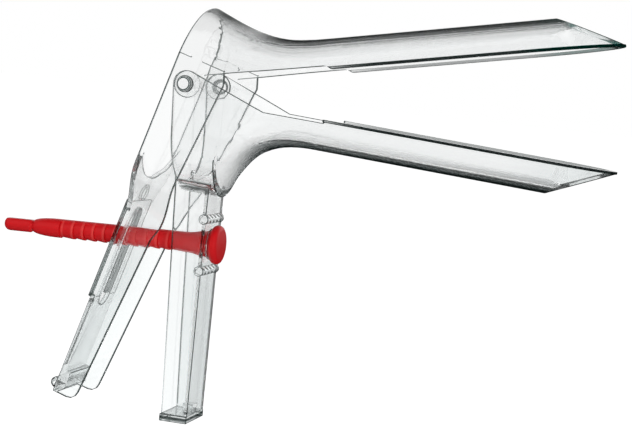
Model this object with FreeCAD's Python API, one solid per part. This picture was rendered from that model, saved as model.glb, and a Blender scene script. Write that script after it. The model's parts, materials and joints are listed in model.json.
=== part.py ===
# Bivalve speculum with a ratchet lock pin: two clear moulded valves hinged at their cheeks, and one pin.
# Every piece is drawn about the hinge axis, with X forward along the blades, Y across and Z up.
# It is then set down with the middle of the handle's grip face at the origin. Millimetres and degrees.
import FreeCAD, Part
import math
import os

V = FreeCAD.Vector
ACROSS = V(0, 1, 0)
FORWARD = V(1, 0, 0)
UP = V(0, 0, 1)

# Walls and widths, measured from the middle plane to the outside
wall = 1.5
collar_half = 19.0
cheek_gap = 0.3
blade_half = 14.8
lever_half = 10.3
lever_end_half = 9.9
handle_gap = 0.5

# Hinge: two pegs on the lower cheeks turn in two holes in the upper cheeks
peg_radius = 2.35
peg_clearance = 0.08
peg_stand_out = 1.3
peg_chamfer = 0.4
boss_radius = 4.3
boss_height = 0.8

# Blades, each in a frame of its own with the rim level
blade_reach = 135.0
nose_length = 27.0
crown_end = 115.0
blade_depth = 10.5
blade_side = 1.9
haunch_angle = 70.0
bead_out = 0.5
bead_in = 0.7
bead_height = 0.9
rim_step = 1.1
rim_step_at = 45.0
rim_step_run = 1.5
funnel_end = 44.0

# Upper valve: rim above the hinge, blade raised
upper_blade_angle = 10.0
upper_rim = 0.95
collar_top = 25.0
collar_spring = 8.4
collar_front = 6.5
collar_rise = 6.5

# Lower valve: rim below the hinge, blade lowered
lower_blade_angle = 4.3
lower_rim = 3.35
lower_rim_start = 26.0
bowl_drop = 34.6
bowl_spring = 16.0
bowl_floor = 2.6
bowl_front = 12.6
bowl_rear_top = 4.3
bowl_rear_lean = 3.5

# Lever on the upper valve, drawn hanging straight down and then leaned back
lever_lean_angle = 17.4
lever_back = 5.7
lever_length = 111.3
lever_corner = 3.2
cheek_front_top = 12.0
cheek_front_low = 9.4
narrow_start = 29.0
narrow_end = 47.0
channel_front_top = 7.6
channel_front_at = 52.0
channel_front_end = 2.6
saddle_drop = 34.5
saddle_rise = 9.0
slot_top = 45.2
slot_length = 35.2
slot_side_gap = 0.35
pad_top = 42.6
pad_end = 77.2
pad_height = 0.9
ring_at = 40.0
ring_radius = 2.2
ring_height = 0.8
thumb_bar_rise = 3.1
thumb_bar_radius = 1.8
thumb_block_rise = 2.3
thumb_block_height = 5.5
thumb_block_depth = 1.8

# Handle on the lower valve, a channel that hangs straight down and is open to the rear
handle_front = 7.8
handle_top_rear = 3.9
handle_end_rear = 1.0
handle_bottom = 109.2
handle_floor = 2.4
floor_lip = 0.5
floor_boss_radius = 2.6
floor_boss_height = 3.0
rail_radius = 1.65
rail_proud = 0.85
rail_end = 0.2
grip_drop = 84.0

# Lock pin through the handle's front wall and the lever's slot
pin_drop = 51.0
pin_droop_angle = 2.0
head_radius = 6.4
head_thickness = 3.9
head_round = 1.1
head_gap = 0.5
head_side_gap = 0.35
neck_radius = 4.4
neck_gap = 0.4
neck_straight = 3.0
neck_length = 9.0
shank_radius = 3.3
shank_end_radius = 2.85
tooth_count = 12
tooth_pitch = 3.55
tooth_depth = 0.45
first_tooth = 14.7
spine_height = 2.35
shoulder_at = 58.6
shoulder_length = 3.6
pin_length = 73.4
tail_radius = 2.3
tail_flat = 1.75
tail_round = 1.9

# Sizes that follow from the ones above
lower_half = collar_half - wall - cheek_gap
handle_half = lever_half - wall - handle_gap
peg_hole = peg_radius + peg_clearance
slot_half = shank_radius + slot_side_gap
rail_offset = head_radius + head_side_gap + rail_radius
thumb_bar_at = lever_length - thumb_bar_rise
thumb_block_bottom = lever_length - thumb_block_rise
nose_slant = (blade_depth - bead_height) / (blade_reach - crown_end)
set_down = V(-handle_front, 0, grip_drop)


def prism_across(points, half_width):
    """Solid between two planes across Y, from a side-view outline of (x, z) points."""
    wire = Part.makePolygon([V(x, -half_width, z) for x, z in points + points[:1]])
    return Part.Face(wire).extrude(V(0, 2 * half_width, 0))


def mirrored_outline(half_outline):
    """Front-view (y, z) outline made of one half and its mirror image."""
    return half_outline + [(-y, z) for y, z in reversed(half_outline)]


def prism_forward(points, start, length):
    """Solid along X from a front-view outline of (y, z) points."""
    wire = Part.makePolygon([V(start, y, z) for y, z in points + points[:1]])
    return Part.Face(wire).extrude(V(length, 0, 0))


def raised(shape, degrees):
    """The shape turned about the hinge axis, positive lifting what lies forward."""
    turned = shape.copy()
    turned.rotate(V(0, 0, 0), -ACROSS, degrees)
    return turned


def bar_across(x, z, radius, half_width):
    """Round bar across Y."""
    return Part.makeCylinder(radius, 2 * half_width, V(x, -half_width, z), ACROSS)


def trough_wire(x, half_width, base, spring, crown):
    """Closed section in the plane X = x: straight sides from base to spring, and an arch of three tangent arcs."""
    turn = math.radians(haunch_angle)
    flat = (1 - math.sin(turn)) / math.cos(turn)
    radius = (crown - spring - half_width * flat) / (math.sin(turn) - flat * (1 - math.cos(turn)))
    side = []
    for share in (0, 0.5, 1):
        across = half_width - radius + radius * math.cos(share * turn)
        side.append(V(x, across, spring + radius * math.sin(share * turn)))
    other = [V(x, -point.y, point.z) for point in reversed(side)]
    first = V(x, half_width, base)
    last = V(x, -half_width, base)
    lines = [Part.LineSegment(first, side[0]), Part.Arc(*side), Part.Arc(side[2], V(x, 0, crown), other[0])]
    lines += [Part.Arc(*other), Part.LineSegment(other[2], last), Part.LineSegment(last, first)]
    return Part.Wire([line.toShape() for line in lines])


def trough(stations, base, hollow):
    """Solid through stations of (x, half width, spring, crown, floor), or the hollow inside its walls."""
    wires = []
    for x, half_width, spring, crown, floor in stations:
        if hollow:
            half_width -= wall
            crown -= floor
        wires.append(trough_wire(x, half_width, base, spring, crown))
    return Part.makeLoft(wires, True, len(wires) == 2)


def even_trough(start, end, half_width, base, spring, crown):
    """Solid with the same trough section all the way from start to end."""
    section = Part.Face(trough_wire(start, half_width, base, spring, crown))
    return section.extrude(V(end - start, 0, 0))


def flare(shares, rim, collar_width, top, spring_top, floor):
    """Stations of a funnel. Each share is (place along it, widening, deepening), where 1 is the full collar."""
    stations = []
    for along, widening, deepening in shares:
        half_width = blade_half + widening * (collar_width - blade_half)
        crown = rim + blade_depth + deepening * (top - rim - blade_depth)
        spring = rim + blade_side + deepening * (spring_top - rim - blade_side)
        stations.append((funnel_end * along, half_width, spring, crown, wall + deepening * (floor - wall)))
    return stations


def nose_plan(half_width, reach, start):
    """Plan of a blade through its full height: straight sides and a half-oval nose."""
    oval_start = reach - nose_length
    arc = Part.Arc(Part.Ellipse(V(reach, 0, 0), V(oval_start, half_width, 0), V(oval_start, 0, 0)),
                   -math.pi / 2, math.pi / 2)
    corners = [V(oval_start, half_width, 0), V(start, half_width, 0)]
    corners += [V(start, -half_width, 0), V(oval_start, -half_width, 0)]
    edges = [arc.toShape()]
    for one, two in zip(corners, corners[1:]):
        edges.append(Part.LineSegment(one, two).toShape())
    plan = Part.Face(Part.Wire(Part.__sortEdges__(edges)))
    plan.translate(-2 * collar_half * UP)
    return plan.extrude(4 * collar_half * UP)


def blade_solid(rim, base, offset):
    """Solid of the blade from the funnel to its closed nose, smaller by the offset on every wall."""
    end = blade_reach + wall
    crown = rim + blade_depth
    spring = rim + blade_side
    body = even_trough(funnel_end, end, blade_half - offset, base, spring, crown - offset)
    body = body.common(nose_plan(blade_half - offset, blade_reach - offset, funnel_end))
    lowered = offset * math.hypot(1, nose_slant)
    tip = rim + bead_height - lowered - nose_slant * wall
    high = tip + nose_slant * (end - funnel_end)
    keep = [(funnel_end, 2 * base), (end, 2 * base), (end, tip), (funnel_end, high)]
    return body.common(prism_across(keep, collar_half))


def rim_bead(rim):
    """Flange round the front part of the rim, standing out a little on both sides of the wall."""
    outer = nose_plan(blade_half + bead_out, blade_reach + bead_out, rim_step_at)
    inside = wall + bead_in
    inner = nose_plan(blade_half - inside, blade_reach - inside, rim_step_at - wall)
    level = Part.makeBox(blade_reach, 2 * collar_half, bead_height, V(rim_step_at, -collar_half, rim))
    return outer.cut(inner).common(level)


def rim_cutter(rim, start):
    """What is cut away under the rim, from start to beyond the nose, with the small step in it."""
    low = -2 * collar_half
    end = blade_reach + 2 * wall
    outline = [(start, low), (end, low), (end, rim), (rim_step_at + rim_step_run, rim)]
    outline += [(rim_step_at, rim + rim_step), (start, rim + rim_step)]
    return prism_across(outline, 2 * collar_half)


def lever_front_view(inset):
    """Half of the front view of cheeks and lever: wide at the top, then narrowing in a soft S to the channel."""
    top = 2 * boss_radius
    steps = 8
    outline = [(collar_half - inset, top)]
    for step in range(steps + 1):
        share = step / steps
        blend = (1 - math.cos(math.pi * share)) / 2
        half_width = collar_half + (lever_half - collar_half) * blend
        outline.append((half_width - inset, -narrow_start - share * (narrow_end - narrow_start)))
    outline.append((lever_end_half - inset, -lever_length))
    return mirrored_outline(outline)


def lever_side_view():
    """Side view of cheek and lever before it leans back, from the top of the cheek down to the thumb end."""
    rear = -lever_back
    outline = [(rear, 2 * boss_radius), (cheek_front_top - wall, 2 * boss_radius), (cheek_front_top, boss_radius)]
    outline += [(cheek_front_low, -narrow_start), (channel_front_top, -narrow_end)]
    outline += [(channel_front_top - wall, -channel_front_at)]
    centre = channel_front_end - lever_corner
    for turn in (0, 30, 60, 90):
        angle = math.radians(turn)
        x = centre + lever_corner * math.cos(angle)
        outline.append((x, -lever_length + lever_corner * (1 - math.sin(angle))))
    return outline + [(rear, -lever_length)]


def lever():
    """Cheeks and U-channel lever of the upper valve, with slot, pad, ring, thumb bar and thumb block."""
    side = lever_side_view()
    reach = 2 * collar_half
    start = -lever_back
    outer = prism_forward(lever_front_view(0), start, reach).common(prism_across(side, reach))
    inner = prism_forward(lever_front_view(wall), start - wall, reach + wall)
    inner_cut = inner.common(Part.makeBox(reach + 2 * wall, reach, 2 * lever_length,
                                          V(start - wall, -collar_half, -lever_length - wall)))
    walls = outer.cut(inner_cut)
    back = outer.common(Part.makeBox(wall, reach, lever_length, V(start, -collar_half, -lever_length)))
    back = back.cut(saddle())
    thumb_top = Part.makeBox(thumb_block_depth, 2 * (lever_end_half - wall / 2), thumb_block_height,
                             V(start + wall, wall / 2 - lever_end_half, -thumb_block_bottom))
    pad_half = lever_end_half
    pad = Part.makeBox(pad_height, 2 * pad_half, pad_end - pad_top, V(start - pad_height, -pad_half, -pad_end))
    ring = Part.makeCylinder(ring_radius + ring_height, ring_height, V(start, 0, -ring_at), -FORWARD)
    thumb_bar = bar_across(start, -thumb_bar_at, thumb_bar_radius, lever_end_half)
    thumb_bar = thumb_bar.cut(inner)
    solid = walls.fuse([back, thumb_top, pad, ring, thumb_bar])
    ring_hollow = Part.makeCylinder(ring_radius, ring_height, V(start, 0, -ring_at), -FORWARD)
    return raised(solid.cut([slot(), ring_hollow]), -lever_lean_angle)


def saddle():
    """Round-bottomed opening between the cheeks, down to the top edge of the lever's rear wall."""
    half_width = collar_half - wall
    low = V(0, 0, -saddle_drop)
    left = V(0, -half_width, saddle_rise - saddle_drop)
    right = V(0, half_width, saddle_rise - saddle_drop)
    top = V(0, 0, lever_length)
    edges = [Part.Arc(left, low, right).toShape(), Part.LineSegment(right, right + top).toShape()]
    edges += [Part.LineSegment(right + top, left + top).toShape(), Part.LineSegment(left + top, left).toShape()]
    opening = Part.Face(Part.Wire(edges))
    opening.translate(-2 * lever_back * FORWARD)
    return opening.extrude(2 * lever_back * FORWARD)


def slot():
    """Long round-ended slot through pad and rear wall for the pin."""
    depth = pad_height + wall + 2 * cheek_gap
    start = -lever_back - pad_height - cheek_gap
    high = V(start, 0, -slot_top - slot_half)
    low = V(start, 0, -slot_top - slot_length + slot_half)
    middle = Part.makeBox(depth, 2 * slot_half, high.z - low.z, V(start, -slot_half, low.z))
    ends = [Part.makeCylinder(slot_half, depth, place, FORWARD) for place in (high, low)]
    return middle.fuse(ends)


def behind_lever_plane():
    """Everything behind the plane that the collar's rear edge and the lever's back share."""
    tall = 2 * lever_length
    return raised(Part.makeBox(tall, tall, 2 * tall, V(-lever_back - tall, -tall / 2, -tall)), -lever_lean_angle)


def upper_valve():
    """Upper blade, funnel and collar arch, with its outer cheeks and the lever, as one moulding."""
    shares = [(collar_front / funnel_end, 1, 0.955), (0.2, 0.995, 0.835), (0.295, 0.94, 0.625)]
    shares += [(0.44, 0.69, 0.35), (0.57, 0.4, 0.165), (0.7, 0.17, 0.055), (0.82, 0.05, 0.012)]
    shares += [(0.91, 0.005, 0), (1, 0, 0)]
    stations = flare(shares, upper_rim, collar_half, collar_top, collar_spring, wall)
    arch = [(-collar_half, collar_half, collar_spring, collar_top + collar_rise, wall), stations[0]]
    base = -collar_half
    outer = trough(stations, base, False).fuse([trough(arch, base, False), blade_solid(upper_rim, base, 0)])
    base -= wall
    inner = trough(stations, base, True).fuse([trough(arch, base, True), blade_solid(upper_rim, base, wall)])
    shell = outer.cut(inner).fuse(rim_bead(upper_rim))
    shell = shell.cut(rim_cutter(upper_rim, -2 * collar_half))
    shell = raised(shell, upper_blade_angle).cut(behind_lever_plane())
    valve = shell.fuse(lever())
    hole = bar_across(0, 0, peg_hole, 2 * collar_half)
    return valve.cut(hole).removeSplitter()


def tangent_from_boss(x, z):
    """Point of the boss circle about the hinge where the straight edge to (x, z) leaves it."""
    angle = math.atan2(z, x) + math.acos(boss_radius / math.hypot(x, z))
    return boss_radius * math.cos(angle), boss_radius * math.sin(angle)


def above_cheek_edge():
    """What is cut away above the lower cheeks: a straight edge from the boss down to the rear end of the rim."""
    rim_z = -lower_rim - rim_step
    x, z = tangent_from_boss(lower_rim_start, rim_z)
    high = 2 * collar_half
    ends = blade_reach + 2 * wall
    outline = [(x, z), (lower_rim_start, rim_z), (rim_step_at, rim_z), (rim_step_at + rim_step_run, -lower_rim)]
    outline += [(ends, -lower_rim), (ends, high), (x, high)]
    front = prism_across(outline, 2 * collar_half)
    rear = Part.makeBox(high + x, 4 * collar_half, high, V(-high, -2 * collar_half, 0))
    return front.fuse(rear.cut(bar_across(0, 0, boss_radius, 2 * collar_half)))


def handle():
    """Channel handle open to the rear, with its floor, the two rails beside the pin's head and the floor boss."""
    top = -bowl_drop + 2 * bowl_floor
    outline = [(handle_front, top), (-handle_top_rear, top), (-handle_end_rear, -handle_bottom)]
    outline += [(handle_front, -handle_bottom)]
    solid = prism_across(outline, handle_half)
    depth = 4 * handle_front
    hollow = Part.makeBox(depth, 2 * (handle_half - wall), handle_bottom + top - handle_floor,
                          V(handle_front - wall - depth, wall - handle_half, handle_floor - handle_bottom))
    lip = floor_lip
    floor = Part.makeBox(handle_front + handle_end_rear + lip, 2 * (handle_half + lip), handle_floor,
                         V(-handle_end_rear - lip, -handle_half - lip, -handle_bottom))
    pieces = [floor]
    for centre in (rail_offset - pin_drop, -rail_offset - pin_drop):
        pieces.append(bar_across(handle_front + rail_proud - rail_radius, centre, rail_radius, handle_half + rail_end))
    boss_place = V(handle_front - wall, 0, handle_floor - handle_bottom - wall / 2)
    boss = Part.makeCylinder(floor_boss_radius, floor_boss_height + wall / 2, boss_place, UP)
    pieces.append(boss.common(prism_across(outline, handle_half)))
    hole = Part.makeCylinder(neck_radius + neck_gap, 2 * handle_front, V(0, 0, -pin_drop), FORWARD)
    return solid.cut(hollow).fuse(pieces).cut(hole)


def peg(side):
    """Hinge peg on one lower cheek, with the round boss that backs it inside."""
    root = lower_half - wall / 2
    length = collar_half + peg_stand_out - root
    shaft = Part.makeCylinder(peg_radius, length - peg_chamfer, V(0, root, 0), ACROSS)
    end = Part.makeCone(peg_radius, peg_radius - peg_chamfer, peg_chamfer, V(0, root + length - peg_chamfer, 0), ACROSS)
    boss_root = lower_half - wall - boss_height
    boss = Part.makeCylinder(boss_radius, boss_height + wall / 2, V(0, boss_root, 0), ACROSS)
    solid = shaft.fuse([end, boss])
    return solid if side > 0 else solid.mirror(V(0, 0, 0), ACROSS)


def lower_valve():
    """Lower blade, funnel and collar bowl, with its inner cheeks, pegs and handle, as one moulding."""
    shares = [(bowl_front / funnel_end, 1, 1), (0.339, 0.97, 0.7), (0.416, 0.9, 0.43), (0.48, 0.8, 0.28)]
    shares += [(0.584, 0.57, 0.135), (0.693, 0.32, 0.05), (0.8, 0.12, 0.012), (0.9, 0.015, 0), (1, 0, 0)]
    stations = flare(shares, lower_rim, lower_half, bowl_drop, bowl_spring, bowl_floor)
    base = -collar_half
    rear = -2 * boss_radius
    bowl = even_trough(rear, bowl_front, lower_half, base, bowl_spring, bowl_drop)
    outer = trough(stations, base, False).fuse([bowl, blade_solid(lower_rim, base, 0)])
    base -= wall
    bowl = even_trough(rear, bowl_front, lower_half - wall, base, bowl_spring, bowl_drop - bowl_floor)
    inner = trough(stations, base, True).fuse([bowl, blade_solid(lower_rim, base, wall)])
    flip = V(0, 0, 0)
    outer = outer.fuse(rim_bead(lower_rim)).mirror(flip, UP)
    inner = inner.mirror(flip, UP)
    shell = raised(outer.cut(above_cheek_edge()), -lower_blade_angle)
    hollow = raised(inner, -lower_blade_angle)
    tall = 2 * bowl_drop
    behind = [(-bowl_rear_top, tall), (-bowl_rear_top, 0), (-bowl_rear_top + bowl_rear_lean, -tall)]
    behind += [(-tall, -tall), (-tall, tall)]
    shell = shell.cut(prism_across(behind, 2 * collar_half))
    bead = raised(rim_bead(lower_rim).mirror(flip, UP), -lower_blade_angle)
    body = shell.fuse(handle()).cut(hollow).fuse(bead)
    return body.fuse([peg(1), peg(-1)]).removeSplitter()


def shank_envelope(x):
    """Radius over the teeth at a distance behind the head."""
    share = (x - neck_length) / (shoulder_at - neck_length)
    return shank_radius + (shank_end_radius - shank_radius) * share


def revolved(points):
    """Solid of revolution about X from an outline of (x, radius) points that starts and ends on the axis."""
    wire = Part.makePolygon([V(x, 0, radius) for x, radius in points + points[:1]])
    return Part.Face(wire).revolve(V(0, 0, 0), FORWARD, 360)


def head_outline():
    """Outline of the thumb disc with rounded edges, from its front face back to the neck."""
    rear = []
    front = []
    for turn in (0, 30, 60, 90):
        angle = math.radians(turn)
        inset = head_round * (1 - math.sin(angle))
        radius = head_radius - head_round * (1 - math.cos(angle))
        rear.append((inset, radius))
        front.append((head_thickness - inset, radius))
    return [(head_thickness, 0)] + front[::-1] + rear


def neck_outline():
    """Outline of the neck: straight through the handle's wall, then a hollow trumpet down to the shank."""
    outline = [(0, neck_radius), (-neck_straight, neck_radius)]
    for share in (0.25, 0.5, 0.75, 1):
        fall = 1 - (1 - share) ** 2
        x = neck_straight + share * (neck_length - neck_straight)
        outline.append((-x, neck_radius + (shank_radius - neck_radius) * fall))
    return outline


def lock_pin():
    """Pin: thumb disc, trumpet neck, ratchet teeth with a smooth spine on top, shoulder and flat-topped tail."""
    outline = head_outline() + neck_outline()
    x = first_tooth
    for tooth in range(tooth_count):
        peak = shank_envelope(x)
        outline.append((-x, peak - tooth_depth))
        outline.append((-x, peak))
        x += tooth_pitch
    outline.append((-x, shank_envelope(x) - tooth_depth))
    shoulder = [(-shoulder_at, shank_end_radius - tooth_depth)]
    tail_start = shoulder_at + shoulder_length
    shoulder += [(-tail_start, tail_radius), (-pin_length + tail_round, tail_radius)]
    for turn in (30, 60):
        angle = math.radians(turn)
        outline_x = -pin_length + tail_round * (1 - math.sin(angle))
        shoulder.append((outline_x, tail_radius - tail_round * (1 - math.cos(angle))))
    shoulder += [(-pin_length, tail_radius - tail_round), (-pin_length, 0)]
    toothed = revolved(outline + shoulder)
    smooth = revolved([(-neck_length, 0), (-neck_length, shank_radius), (-shoulder_at, shank_end_radius)]
                      + [(-shoulder_at, 0)])
    spine = smooth.common(Part.makeBox(pin_length, 4 * shank_radius, shank_radius,
                                       V(-pin_length, -2 * shank_radius, spine_height)))
    flat = Part.makeBox(pin_length - shoulder_at, 4 * tail_radius, tail_radius,
                        V(-pin_length, -2 * tail_radius, tail_flat))
    pin = toothed.cut(flat).fuse(spine).removeSplitter()
    pin = raised(pin, pin_droop_angle)
    pin.translate(V(handle_front + head_gap, 0, -pin_drop))
    return pin


def export(name, shape):
    """Writes one piece as a STEP file, set down in the part's frame."""
    placed = shape.copy()
    placed.translate(set_down)
    solids = placed.Solids
    print(name, placed.isValid(), len(solids), "solids", round(placed.Volume, 1), "mm3", len(placed.Faces), "faces")
    (solids[0] if len(solids) == 1 else placed).exportStep("parts/" + name + ".step")


os.makedirs("parts", exist_ok=True)
export("upper_valve", upper_valve())
export("lower_valve", lower_valve())
export("lock_pin", lock_pin())
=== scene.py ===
import json
import math

import bmesh
import bpy
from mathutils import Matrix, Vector


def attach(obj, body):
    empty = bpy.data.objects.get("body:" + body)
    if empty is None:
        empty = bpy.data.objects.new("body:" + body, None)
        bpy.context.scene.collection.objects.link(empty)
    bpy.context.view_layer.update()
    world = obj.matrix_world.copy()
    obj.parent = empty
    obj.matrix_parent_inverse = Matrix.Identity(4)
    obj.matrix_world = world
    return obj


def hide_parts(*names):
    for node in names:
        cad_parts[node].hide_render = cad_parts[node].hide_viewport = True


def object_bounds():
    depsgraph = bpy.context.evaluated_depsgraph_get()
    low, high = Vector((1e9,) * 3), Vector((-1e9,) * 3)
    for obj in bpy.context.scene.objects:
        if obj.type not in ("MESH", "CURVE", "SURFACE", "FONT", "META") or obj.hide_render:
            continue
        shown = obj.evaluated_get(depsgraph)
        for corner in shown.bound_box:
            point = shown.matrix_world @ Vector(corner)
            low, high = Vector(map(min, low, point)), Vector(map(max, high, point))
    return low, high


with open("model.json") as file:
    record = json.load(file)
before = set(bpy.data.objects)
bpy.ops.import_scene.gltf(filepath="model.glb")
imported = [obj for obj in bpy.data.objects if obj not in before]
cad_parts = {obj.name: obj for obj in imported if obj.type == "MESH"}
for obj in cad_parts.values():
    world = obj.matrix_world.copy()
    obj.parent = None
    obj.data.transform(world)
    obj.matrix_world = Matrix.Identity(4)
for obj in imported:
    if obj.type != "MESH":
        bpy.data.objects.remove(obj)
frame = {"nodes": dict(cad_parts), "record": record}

MM = 0.001
cad_box = [list(corner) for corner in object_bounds()]

# Camera of the photograph, about the part's own frame
VIEW_AZIMUTH = math.radians(14.25)
VIEW_ELEVATION = math.radians(4.05)
VIEW_ROLL = math.radians(5.78)
VIEW_TARGET = Vector((33.98, 0, 46.37)) * MM
VIEW_DISTANCE = 534.5 * MM
LENS, SENSOR = 95.18, 36.0
NEAREST, FARTHEST = 0.01, 100.0

# Studio: the floor, the point that the lamps shine at, and how dark the world is around and overhead
FLOOR_DROP, FLOOR_SIZE = 60 * MM, 60.0
FLOOR_PAINT, FLOOR_MIRRORED, FLOOR_GLOW = (0.8, 0.8, 0.8), (0.02, 0.02, 0.02), 0.90
LIT_POINT = (0.03, 0.0, 0.05)
WHITE = (1.0, 1.0, 1.0, 1.0)
STUDIO_DARKNESS, CAMERA_SIDE_DARKNESS = 0.95, 0.85
AMBIENT, AMBIENT_DROP = 0.45, 0.35

# Meshes of the mouldings: outward edges are rounded from an angle on, and only crisp ones on the noses
MERGE_DISTANCE = 0.0005 * MM
FLAT_ANGLE = math.radians(0.02)
SHARP_ANGLE = math.radians(32)
CRISP_ANGLE = math.radians(55)
ROUNDED_ANGLE = math.radians(64)
NOSE_FROM = 60.0 * MM
EDGE_ROUND, RIM_ROUND = 0.24 * MM, 0.22 * MM
EDGE_SEGMENTS = 2
FACE_MARKS = "rim", "strip", "hollow"

# Hinge, and for each valve the blade's angle with the lowest and highest of its rim's flange
HINGE = Vector((-7.8, 0.0, 84.0)) * MM
RIM_START = 38.0 * MM
RIM_SIDES = 0.6
BLADE_RIMS = {"upper_valve": (math.radians(10.0), 0.9 * MM, 1.9 * MM),
              "lower_valve": (math.radians(-4.3), -4.3 * MM, -3.3 * MM)}

# Lever by its own axes through the hinge: the front strips of its walls, and the sides of its raised pad, with
# their painted shade
LEVER_LEAN = math.radians(17.4)
LEVER_FRONT_FROM = 29.5 * MM
FRONT_FACING, FRONT_DARKNESS = 0.85, 0.55
PAD_BEHIND, PAD_TOP, PAD_BOTTOM = 5.6 * MM, 42.0 * MM, 82.0 * MM
PAD_FACING, PAD_DARKNESS = 0.8, 0.8

# Lock pin, in millimetres behind the rear face of its head and out from its axis
PIN_ROOT = Vector((0.5, 0.0, 33.0))
PIN_DROOP = math.radians(1.1)
PIN_AROUND = 96
HEAD = [(3.0, 0.0), (3.0, 4.9), (2.9, 5.5), (2.6, 6.0), (2.1, 6.3), (1.5, 6.4), (0.9, 6.3), (0.4, 6.0),
        (0.1, 5.5), (0.0, 4.9)]
NECK = [(0.0, 4.4), (-3.0, 4.4), (-4.5, 3.92), (-6.0, 3.58), (-7.5, 3.37), (-9.0, 3.3)]
SHANK_START, SHANK_RADIUS = 9.0, 3.3
SHOULDER, SHOULDER_RADIUS, SHOULDER_STRAIGHT = 52.8, 3.15, 1.7
FIRST_TOOTH, TOOTH_PITCH, TOOTH_COUNT = 14.5, 3.71, 10
TOOTH_DEPTH, TOOTH_LAND = 0.45, 0.7
SPINE_HEIGHT = 2.5
WAIST, WAIST_RADIUS, WAIST_LENGTH = 63.0, 1.72, 1.0
PIN_END, TAIL_RADIUS, TAIL_FLAT, TAIL_ROUND = 73.4, 2.35, 1.85, 2.0
QUARTER_TURN = [math.radians(turn) for turn in range(0, 91, 15)]

# Places in the clear plastic, each as the start and end of a soft step along x, y or z
AHEAD_X, COLLAR_X, COLLAR_Z = (0.0, 20 * MM), (-12 * MM, 0.0), (98 * MM, 108 * MM)
UPPER_Z, HANDLE_TOP_Z = (78 * MM, 96 * MM), (10 * MM, 50 * MM)
TOE_X, NOSE_X = (88 * MM, 120 * MM), (92 * MM, 106 * MM)
RIM_X, CHEEK_X = (28 * MM, 52 * MM), (0.0, 10 * MM)
FAR_Y, FAR_X, FAR_LIGHTER = (0.0, 6 * MM), (28 * MM, 40 * MM), 0.6

# Rails beside the pin's head with the slanted lines of painted shade on them, and the band of painted shade
# round the foot
RAIL_MIDDLE, RAIL_OFFSET = 33.0 * MM, 8.4 * MM
RAIL_ROWS = 0.25 * MM, 0.45 * MM, 1.3 * MM, 1.5 * MM
RAIL_FRONT = 0.02 * MM, 0.08 * MM, 1 * MM, 2 * MM
RAIL_ENDS = 8.0 * MM, 8.4 * MM
HATCH_ALONG, HATCH_UP, HATCH_EDGE = 1850.0, 2600.0, 0.3
FOOT_BAND = -24.5 * MM, -24.2 * MM, -23.6 * MM, -23.3 * MM
RAIL_AND_FOOT_SHADE = 0.9

# Clear plastic, painted shade: how far a face turns away before it darkens, from and to
TURNED_LOWER, TURNED_UPPER, TURNED_ELSEWHERE = (0.25, 0.85), (0.60, 0.95), (0.60, 1.0)
OUTLINE_LOWER, OUTLINE_UPPER, OUTLINE_STRENGTH = (0.30, 0.95), (0.42, 0.86), 0.95
HOLLOW_SHARE, BACK_SHARE = 0.35, 0.65
EDGE_STRENGTH, NOSE_EDGE_STRENGTH = 0.6, 0.38

# Clear plastic: its colours and those of its painted shade, and the light that goes straight through it or is
# lost in its depth
# Painted shade: greyer low on the handle and at the lower blade's toe
CLEAR, CLEAR_HANDLE_SHADE, CLEAR_TOE_SHADE = (0.996, 0.998, 0.998), (0.91, 0.93, 0.93), (0.92, 0.935, 0.935)
# Painted shade of the faces that turn away and of the edges
TURNED_SHADE_COLOUR, EDGE_SHADE_COLOUR = (0.20, 0.235, 0.235), (0.05, 0.06, 0.06)
# Painted shade of the outline, green on the nose partly from the plastic's own tint
OUTLINE_SHADE_COLOUR, NOSE_TINT_AND_SHADE = (0.04, 0.065, 0.06), (0.0, 0.11, 0.09)
STRAIGHT_COLOUR, STRAIGHT_SHARE = (0.86, 0.88, 0.88, 1.0), 0.12
DEPTH_COLOUR, DEPTH_DENSITY = (0.35, 0.42, 0.42, 1.0), 14.0
CLEAR_IOR, CLEAR_HAZE = 1.5, 0.03

# Red plastic, with a painted highlight on the lands of the teeth
RED, RED_MOTTLE, RED_LAND_HIGHLIGHT = (0.74, 0.004, 0.008), (0.82, 0.008, 0.013), (1.0, 0.10, 0.09)
RED_IOR, RED_ROUGHNESS, RED_ROUGHNESS_RANGE = 1.46, 0.34, 0.12
LAND_EDGE, LAND_HIGHLIGHT_STRENGTH = (0.10, 0.30), 0.55
TEETH_BAND = -0.2, 0.0, TOOTH_COUNT, TOOTH_COUNT + 0.4


class Signal:
    """An output socket that can stand in a Python expression."""

    def __init__(self, tree, socket):
        self.tree = tree
        self.socket = socket

    def math(self, operation, *others):
        node = self.tree.nodes.new("ShaderNodeMath")
        node.operation = operation
        for place, value in enumerate((self,) + others):
            if isinstance(value, Signal):
                self.tree.links.new(value.socket, node.inputs[place])
            else:
                node.inputs[place].default_value = value
        return Signal(self.tree, node.outputs[0])

    def __add__(self, other):
        return self.math("ADD", other)

    def __mul__(self, other):
        return self.math("MULTIPLY", other)

    def __sub__(self, other):
        return self.math("SUBTRACT", other)

    def __rsub__(self, other):
        return self.math("MULTIPLY", -1.0).math("ADD", other)

    __radd__ = __add__
    __rmul__ = __mul__

    def most(self, other):
        return self.math("MAXIMUM", other)

    def size(self):
        return self.math("ABSOLUTE")

    def between(self, low, high):
        """0 below low, 1 above high, and a soft step from one to the other."""
        share = (self - low) * (1 / (high - low))
        share = share.math("MINIMUM", 1.0).math("MAXIMUM", 0.0)
        return share * share * (3.0 - 2.0 * share)

    def band(self, rise_from, rise_to, fall_from, fall_to):
        """1 in a band, with a soft step at each of its ends."""
        return self.between(rise_from, rise_to) * (1.0 - self.between(fall_from, fall_to))


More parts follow.
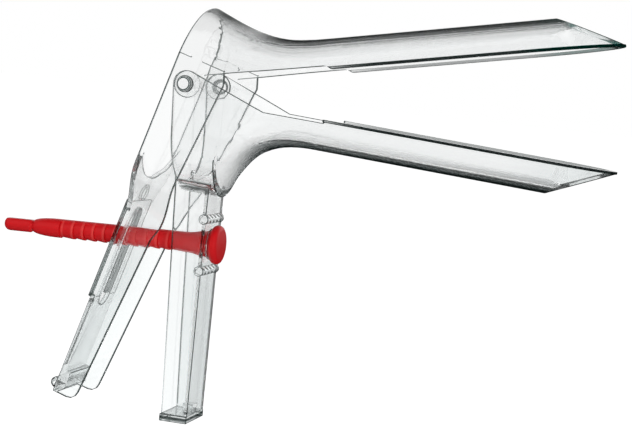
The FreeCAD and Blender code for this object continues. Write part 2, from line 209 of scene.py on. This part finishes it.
class Nodes:
    """The node tree of one material or of the world."""

    def __init__(self, owner):
        owner.use_nodes = True
        self.tree = owner.node_tree
        self.tree.nodes.clear()

    def node(self, kind, settings=None, inputs=None):
        """A node of a type, with its settings made first and then its sockets' values or links."""
        made = self.tree.nodes.new("ShaderNode" + kind)
        for name, value in (settings or {}).items():
            setattr(made, name, value)
        for name, value in (inputs or {}).items():
            if isinstance(value, Signal):
                self.tree.links.new(value.socket, made.inputs[name])
            else:
                made.inputs[name].default_value = value
        return made

    def signal(self, node, output=0):
        return Signal(self.tree, node.outputs[output])

    def make(self, kind, settings=None, inputs=None, output=0):
        """One output of a new node."""
        return self.signal(self.node(kind, settings, inputs), output)

    def place(self, source="Object"):
        """The three parts of a texture coordinate."""
        parts = self.node("SeparateXYZ", inputs={0: self.make("TexCoord", output=source)})
        return [self.signal(parts, axis) for axis in range(3)]

    def noise(self, scale, detail):
        where = self.make("TexCoord", output="Object")
        inputs = {"Vector": where, "Scale": scale, "Detail": detail}
        return self.make("TexNoise", {"noise_dimensions": "3D"}, inputs, "Fac")

    def bump(self, strength, distance, height):
        return self.make("Bump", inputs={"Strength": strength, "Distance": distance, "Height": height})

    def attribute(self, name):
        return self.make("Attribute", {"attribute_name": name}, output="Fac")

    def blend(self, share, first, second):
        """Colour between two colours by a signal."""
        colours = [value if isinstance(value, Signal) else (*value, 1.0) for value in (first, second)]
        return self.make("Mix", {"data_type": "RGBA"}, {0: share, 6: colours[0], 7: colours[1]}, 2)

    def mix_shaders(self, share, first, second):
        return self.make("MixShader", inputs={0: share, 1: first, 2: second})


def rail_shade_lines(x, y, z):
    """Painted shade in slanted lines, in two rows along the front of each rail beside the pin's head."""
    from_rail = ((z - RAIL_MIDDLE).size() - RAIL_OFFSET).size()
    marks = (y * HATCH_ALONG + z * HATCH_UP).math("SINE").between(-HATCH_EDGE, HATCH_EDGE)
    ends = 1.0 - y.size().between(*RAIL_ENDS)
    return from_rail.band(*RAIL_ROWS) * x.band(*RAIL_FRONT) * marks * ends


def painted_edge_shade(nodes, x, y, z):
    """Painted shade: how dark the rounded edges, the thin strips, the rails and the foot are painted."""
    strip = nodes.attribute("strip") * x.between(*RIM_X).most(1.0 - x.between(*CHEEK_X))
    far_side = y.between(*FAR_Y) * x.between(*FAR_X)
    lines = nodes.attribute("rim").most(strip) * (1.0 - FAR_LIGHTER * far_side)
    return lines.most(rail_shade_lines(x, y, z).most(z.band(*FOOT_BAND)) * RAIL_AND_FOOT_SHADE)


def clear_plastic():
    """Clear moulded plastic: bright through its faces, with painted shade where it turns away and along its
    edges, and faint flow waves.
    """
    material = bpy.data.materials.new("clear_plastic")
    nodes = Nodes(material)
    facing = nodes.make("LayerWeight", inputs={"Blend": 0.5}, output="Facing")
    x, y, z = nodes.place()
    forward = x.between(*AHEAD_X).most(x.between(*COLLAR_X) * z.between(*COLLAR_Z))
    upper = z.between(*UPPER_Z)
    lower = 1.0 - upper
    back = 1.0 - nodes.attribute("hollow")
    # Painted shade along the rounded edges, the thin strips, the rails and the foot
    edges = painted_edge_shade(nodes, x, y, z)

    # Tint of the faces with painted shade: darker where the blades turn away and along the edges, greyer low
    # on the handle and at the toe
    turned = facing.between(*TURNED_LOWER) * lower + facing.between(*TURNED_UPPER) * upper
    turned = turned * forward * (HOLLOW_SHARE + BACK_SHARE * back)
    elsewhere = facing.between(*TURNED_ELSEWHERE) * (1.0 - forward)
    waves = nodes.noise(60.0, 2.0) * 0.5 + 0.75
    shade = ((turned + elsewhere) * waves).math("MINIMUM", 1.0)
    plain = nodes.blend(1.0 - z.between(*HANDLE_TOP_Z), CLEAR, CLEAR_HANDLE_SHADE)
    plain = nodes.blend(x.between(*TOE_X) * lower, plain, CLEAR_TOE_SHADE)
    tint = nodes.blend(edges, nodes.blend(shade, plain, TURNED_SHADE_COLOUR), EDGE_SHADE_COLOUR)

    # Glass-like body
    bump = nodes.bump(0.06, 0.0004, nodes.noise(28.0, 1.0))
    haze = nodes.noise(400.0, 3.0) * CLEAR_HAZE
    body = nodes.node("BsdfPrincipled", inputs={"Base Color": tint, "Roughness": haze, "Normal": bump})
    body.inputs["IOR"].default_value = CLEAR_IOR
    body.inputs["Transmission Weight"].default_value = 1.0

    # Some light goes straight on, and all of a lamp's light, so that the shadow stays pale
    shadow_ray = nodes.make("LightPath", output="Is Shadow Ray")
    straight = shadow_ray.most((1.0 - nodes.attribute("rim")) * STRAIGHT_SHARE)
    see_through = nodes.make("BsdfTransparent", inputs={"Color": STRAIGHT_COLOUR})
    surface = nodes.mix_shaders(straight, nodes.signal(body), see_through)

    # Painted shade: dark outline of the blades and funnels, green along the upper nose, where the green is
    # partly the plastic's own tint
    outline = facing.between(*OUTLINE_UPPER) * upper + facing.between(*OUTLINE_LOWER) * lower
    outline = outline * OUTLINE_STRENGTH * forward * back
    nose = upper * x.between(*NOSE_X)
    outline = outline.most(edges * (EDGE_STRENGTH + NOSE_EDGE_STRENGTH * nose))
    dark = nodes.make("BsdfTransparent", inputs={"Color": nodes.blend(nose, OUTLINE_SHADE_COLOUR, NOSE_TINT_AND_SHADE)})
    surface = nodes.mix_shaders(outline * (1.0 - shadow_ray), surface, dark)
    depth = nodes.make("VolumeAbsorption", inputs={"Color": DEPTH_COLOUR, "Density": DEPTH_DENSITY})
    nodes.node("OutputMaterial", inputs={"Surface": surface, "Volume": depth})
    return material


def red_plastic():
    """Opaque red moulded plastic with a satin skin, and a painted highlight on the lands of the teeth."""
    material = bpy.data.materials.new("red_plastic")
    nodes = Nodes(material)
    behind = PIN_ROOT.x - nodes.place()[0] * (1 / MM)
    teeth = (behind - FIRST_TOOTH) * (1 / TOOTH_PITCH)
    # Painted highlight on the lands of the teeth
    land_highlight = (1.0 - teeth.math("FRACT").between(*LAND_EDGE)) * teeth.band(*TEETH_BAND)
    colour = nodes.blend(nodes.noise(90.0, 2.0), RED, RED_MOTTLE)
    colour = nodes.blend(land_highlight * LAND_HIGHLIGHT_STRENGTH, colour, RED_LAND_HIGHLIGHT)
    bump = nodes.bump(0.12, 0.0001, nodes.noise(2600.0, 2.0))
    rough = nodes.noise(160.0, 2.0) * RED_ROUGHNESS_RANGE + RED_ROUGHNESS
    body = nodes.node("BsdfPrincipled", inputs={"Base Color": colour, "Roughness": rough, "Normal": bump})
    body.inputs["IOR"].default_value = RED_IOR
    nodes.node("OutputMaterial", inputs={"Surface": nodes.signal(body)})
    return material


def finished(node, name, material):
    """A merged copy of a moulding with rounded edges, whose flat faces stay evenly shaded."""
    mesh = frame["nodes"][node].data.copy()
    mesh.name = name
    mesh.materials.clear()
    mesh.materials.append(material)
    shape = bmesh.new()
    shape.from_mesh(mesh)
    bmesh.ops.remove_doubles(shape, verts=shape.verts, dist=MERGE_DISTANCE)
    rounded_edges(shape, node)
    shape.to_mesh(mesh)
    shape.free()
    if "custom_normal" in mesh.attributes:
        mesh.attributes.remove(mesh.attributes["custom_normal"])
    flats = placed(mesh, node).modifiers.new("flats", "WEIGHTED_NORMAL")
    flats.weight = 100
    flats.keep_sharp = True


def turned_place(point, angle):
    """Where a point lies along an axis through the hinge that rises at an angle, and above that axis."""
    from_hinge = point - HINGE
    along = from_hinge.x * math.cos(angle) + from_hinge.z * math.sin(angle)
    above = from_hinge.z * math.cos(angle) - from_hinge.x * math.sin(angle)
    return along, above


def on_flange(point, node):
    """Whether a point lies on the flange along the rim of a valve's blade."""
    angle, low, high = BLADE_RIMS[node]
    along, above = turned_place(point, angle)
    return along > RIM_START and low < above < high


def hollow_side(face, node):
    """1 for a face on the hollow side of a blade or funnel, 0 for one on its back."""
    angle = BLADE_RIMS[node][0]
    centre = face.calc_center_median() - HINGE
    upward = Vector((-math.sin(angle), 0.0, math.cos(angle)))
    outward = Vector((0.0, centre.y, 0.0)) + upward * centre.dot(upward)
    return 1.0 if face.normal.dot(outward) < 0.0 else 0.0


def strip_darkness(face, node):
    """How dark a face looks because light is caught in the thin strip behind it."""
    centre = face.calc_center_median()
    if on_flange(centre, node) and abs(face.normal.z) < RIM_SIDES:
        return 1.0
    if node == "upper_valve":
        forward, above = turned_place(centre, -LEVER_LEAN)
        if above < -LEVER_FRONT_FROM and forward > 0.0 and face.normal.x > FRONT_FACING:
            return FRONT_DARKNESS
        beside_pad = forward < -PAD_BEHIND and -PAD_BOTTOM < above < -PAD_TOP
        if beside_pad and abs(face.normal.y) > PAD_FACING:
            return PAD_DARKNESS
    return 0.0


def to_round(edge):
    """Whether an edge points outward at an angle that is rounded."""
    least = CRISP_ANGLE if edge.verts[0].co.x > NOSE_FROM else SHARP_ANGLE
    return edge.is_convex and edge.calc_face_angle(0.0) > least


def rounded_edges(shape, node):
    """Rounds the outward edges of a moulding a little and marks its faces for the material."""
    bmesh.ops.dissolve_limit(shape, angle_limit=FLAT_ANGLE, verts=shape.verts, edges=shape.edges)
    rim, strip, hollow = [shape.faces.layers.float.new(name) for name in FACE_MARKS]
    along_rim, others = [], []
    for edge in filter(to_round, shape.edges):
        flanged = all(on_flange(corner.co, node) for corner in edge.verts)
        (along_rim if flanged else others).append(edge)
    for edges, width in ((along_rim, RIM_ROUND), (others, EDGE_ROUND)):
        made = bmesh.ops.bevel(shape, geom=[edge for edge in edges if edge.is_valid], offset=width,
                               offset_type="OFFSET", segments=EDGE_SEGMENTS, profile=0.5, affect="EDGES",
                               clamp_overlap=False)
        for face in made["faces"]:
            face[rim] = 1.0
    for face in shape.faces:
        face.smooth = True
        face.material_index = 0
        face[strip] = strip_darkness(face, node) * (1.0 - face[rim])
        face[hollow] = hollow_side(face, node)
    for edge in shape.edges:
        rounded = any(face[rim] for face in edge.link_faces)
        edge.smooth = edge.calc_face_angle(0.0) < (ROUNDED_ANGLE if rounded else SHARP_ANGLE)


def placed(mesh, node):
    """Object of a finished mesh that rides with its body and stands for its node."""
    piece = bpy.data.objects.new(mesh.name, mesh)
    bpy.context.scene.collection.objects.link(piece)
    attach(piece, BODY_OF[node])
    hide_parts(node)
    return piece


def shank_radius(behind):
    """Radius over the teeth at a distance behind the head."""
    share = (behind - SHANK_START) / (SHOULDER - SHANK_START)
    return SHANK_RADIUS + (SHOULDER_RADIUS - SHANK_RADIUS) * share


def pin_stations():
    """Outline of the pin as (place, radius, radius of the smooth spine) from the head's face to the tail."""
    stations = [(place, radius, 0.0) for place, radius in HEAD + NECK]
    teeth = [FIRST_TOOTH + step * TOOTH_PITCH for step in range(TOOTH_COUNT)]
    for place in teeth + [SHOULDER]:
        spine = shank_radius(place)
        stations += [(-place, spine - TOOTH_DEPTH, spine), (-place, spine, spine)]
        if place != SHOULDER:
            stations.append((-place - TOOTH_LAND, shank_radius(place + TOOTH_LAND), spine))
    start = SHOULDER + SHOULDER_STRAIGHT
    for angle in QUARTER_TURN:
        radius = WAIST_RADIUS + (SHOULDER_RADIUS - WAIST_RADIUS) * math.cos(angle)
        stations.append((-start - (WAIST - start) * math.sin(angle), radius, 0.0))
    stations.append((-WAIST - WAIST_LENGTH, TAIL_RADIUS, 0.0))
    for angle in QUARTER_TURN:
        place = PIN_END - TAIL_ROUND * (1 - math.sin(angle))
        stations.append((-place, TAIL_RADIUS - TAIL_ROUND * (1 - math.cos(angle)), 0.0))
    return stations + [(-PIN_END, 0.0, 0.0)]


def pin_point(station, angle):
    """Point of the pin's skin at a station and an angle round its axis."""
    place, radius, spine = station
    height = math.sin(angle)
    if spine and spine * height >= SPINE_HEIGHT:
        radius = spine
    if place < -WAIST and radius * height > TAIL_FLAT:
        radius = TAIL_FLAT / height
    across = radius * math.cos(angle)
    up = radius * height
    forward = place * math.cos(PIN_DROOP) - up * math.sin(PIN_DROOP)
    up = place * math.sin(PIN_DROOP) + up * math.cos(PIN_DROOP)
    return (PIN_ROOT + Vector((forward, across, up))) * MM


def pin_moulding(name, material):
    """The red pin: thumb disc, trumpet neck, teeth with lands and a smooth spine, shoulder, waist and tail."""
    shape = bmesh.new()
    angles = [2 * math.pi * step / PIN_AROUND for step in range(PIN_AROUND)]
    rings = []
    for station in pin_stations():
        if station[1] == 0.0:
            rings.append([shape.verts.new(pin_point(station, 0.0))] * PIN_AROUND)
        else:
            rings.append([shape.verts.new(pin_point(station, angle)) for angle in angles])
    for front, rear in zip(rings, rings[1:]):
        for step in range(PIN_AROUND):
            following = (step + 1) % PIN_AROUND
            corners = [front[step], front[following], rear[following], rear[step]]
            corners = [corner for place, corner in enumerate(corners) if corner not in corners[:place]]
            shape.faces.new(corners)
    bmesh.ops.remove_doubles(shape, verts=shape.verts, dist=MERGE_DISTANCE)
    bmesh.ops.recalc_face_normals(shape, faces=shape.faces)
    for face in shape.faces:
        face.smooth = True
    for edge in shape.edges:
        edge.smooth = edge.calc_face_angle(0.0) < SHARP_ANGLE
    mesh = bpy.data.meshes.new(name)
    shape.to_mesh(mesh)
    shape.free()
    mesh.materials.append(material)
    placed(mesh, "lock_pin")


def studio_world():
    """White behind the object, and for clear plastic a studio that grows dark overhead and around."""
    world = bpy.data.worlds.new("studio")
    bpy.context.scene.world = world
    nodes = Nodes(world)
    x, y, z = nodes.place("Generated")
    camera_side = (y * -1.0).between(0.20, 0.80) * CAMERA_SIDE_DARKNESS
    around = z.between(0.40, 0.90).most(x.size().between(0.60, 0.90)).most(camera_side)
    studio = 1.0 - STUDIO_DARKNESS * around
    ambient = AMBIENT - AMBIENT_DROP * z.between(0.1, 0.8)
    path = nodes.node("LightPath")
    camera_ray = nodes.signal(path, "Is Camera Ray")
    diffuse_ray = nodes.signal(path, "Is Diffuse Ray")
    level = diffuse_ray * ambient + (1.0 - diffuse_ray) * studio
    level = camera_ray + (1.0 - camera_ray) * level
    surface = nodes.make("Background", inputs={"Color": WHITE, "Strength": level})
    nodes.node("OutputWorld", inputs={"Surface": surface})


def floor_paint():
    """Pale paint that shows white to the camera and dark in mirrored light."""
    material = bpy.data.materials.new("pale_floor")
    nodes = Nodes(material)
    path = nodes.node("LightPath")
    transmitted = nodes.signal(path, "Is Transmission Ray")
    mirrored = nodes.signal(path, "Is Glossy Ray") * (1.0 - transmitted)
    paint = nodes.make("BsdfDiffuse", inputs={"Color": nodes.blend(mirrored, FLOOR_PAINT, FLOOR_MIRRORED)})
    seen = nodes.signal(path, "Is Camera Ray").most(transmitted)
    glow = nodes.make("Emission", inputs={"Color": WHITE, "Strength": seen * FLOOR_GLOW})
    surface = nodes.make("AddShader", inputs={0: paint, 1: glow})
    nodes.node("OutputMaterial", inputs={"Surface": surface})
    return material


def floor():
    """Pale floor well under the handle's foot, which keeps the soft shadow."""
    height = cad_box[0][2] - FLOOR_DROP
    half = FLOOR_SIZE / 2
    mesh = bpy.data.meshes.new("floor")
    corners = [(-half, -half, height), (half, -half, height), (half, half, height), (-half, half, height)]
    mesh.from_pydata(corners, [], [(0, 1, 2, 3)])
    mesh.materials.append(floor_paint())
    plane = bpy.data.objects.new("floor", mesh)
    bpy.context.scene.collection.objects.link(plane)


def softbox(name, place, width, height, watts):
    """Area lamp of a size that shines at the object."""
    lamp = bpy.data.lights.new(name, "AREA")
    lamp.shape = "RECTANGLE"
    lamp.size = width
    lamp.size_y = height
    lamp.energy = watts
    holder = bpy.data.objects.new(name, lamp)
    bpy.context.scene.collection.objects.link(holder)
    holder.location = place
    holder.rotation_euler = (Vector(LIT_POINT) - Vector(place)).to_track_quat("-Z", "Y").to_euler()
    holder.visible_glossy = False
    holder.visible_transmission = False


def camera():
    """The photograph's viewpoint."""
    data = bpy.data.cameras.new("camera")
    data.lens = LENS
    data.sensor_width = SENSOR
    data.clip_start = NEAREST
    data.clip_end = FARTHEST
    holder = bpy.data.objects.new("camera", data)
    bpy.context.scene.collection.objects.link(holder)
    back = Vector((math.sin(VIEW_AZIMUTH) * math.cos(VIEW_ELEVATION),
                   -math.cos(VIEW_AZIMUTH) * math.cos(VIEW_ELEVATION), math.sin(VIEW_ELEVATION)))
    right = Vector((math.cos(VIEW_AZIMUTH), math.sin(VIEW_AZIMUTH), 0.0))
    up = back.cross(right)
    turn = holder.matrix_world.to_3x3()
    turn.col[0] = right * math.cos(VIEW_ROLL) + up * math.sin(VIEW_ROLL)
    turn.col[1] = up * math.cos(VIEW_ROLL) - right * math.sin(VIEW_ROLL)
    turn.col[2] = back
    holder.matrix_world = turn.to_4x4()
    holder.location = VIEW_TARGET + back * VIEW_DISTANCE
    bpy.context.scene.camera = holder


BODY_OF = {node: body for body, members in frame["record"]["behaviour"]["bodies"].items() for node in members}
bpy.context.scene.view_settings.view_transform = "Standard"
clear = clear_plastic()
finished("lower_valve", "lower_valve_moulding", clear)
finished("upper_valve", "upper_valve_moulding", clear)
pin_moulding("lock_pin_moulding", red_plastic())
studio_world()
floor()
softbox("key", (0.9, -0.9, 0.12), 0.5, 0.5, 7.0)
softbox("fill", (-0.5, -0.6, 0.5), 0.5, 0.7, 2.5)
camera()
bpy.context.view_layer.update()
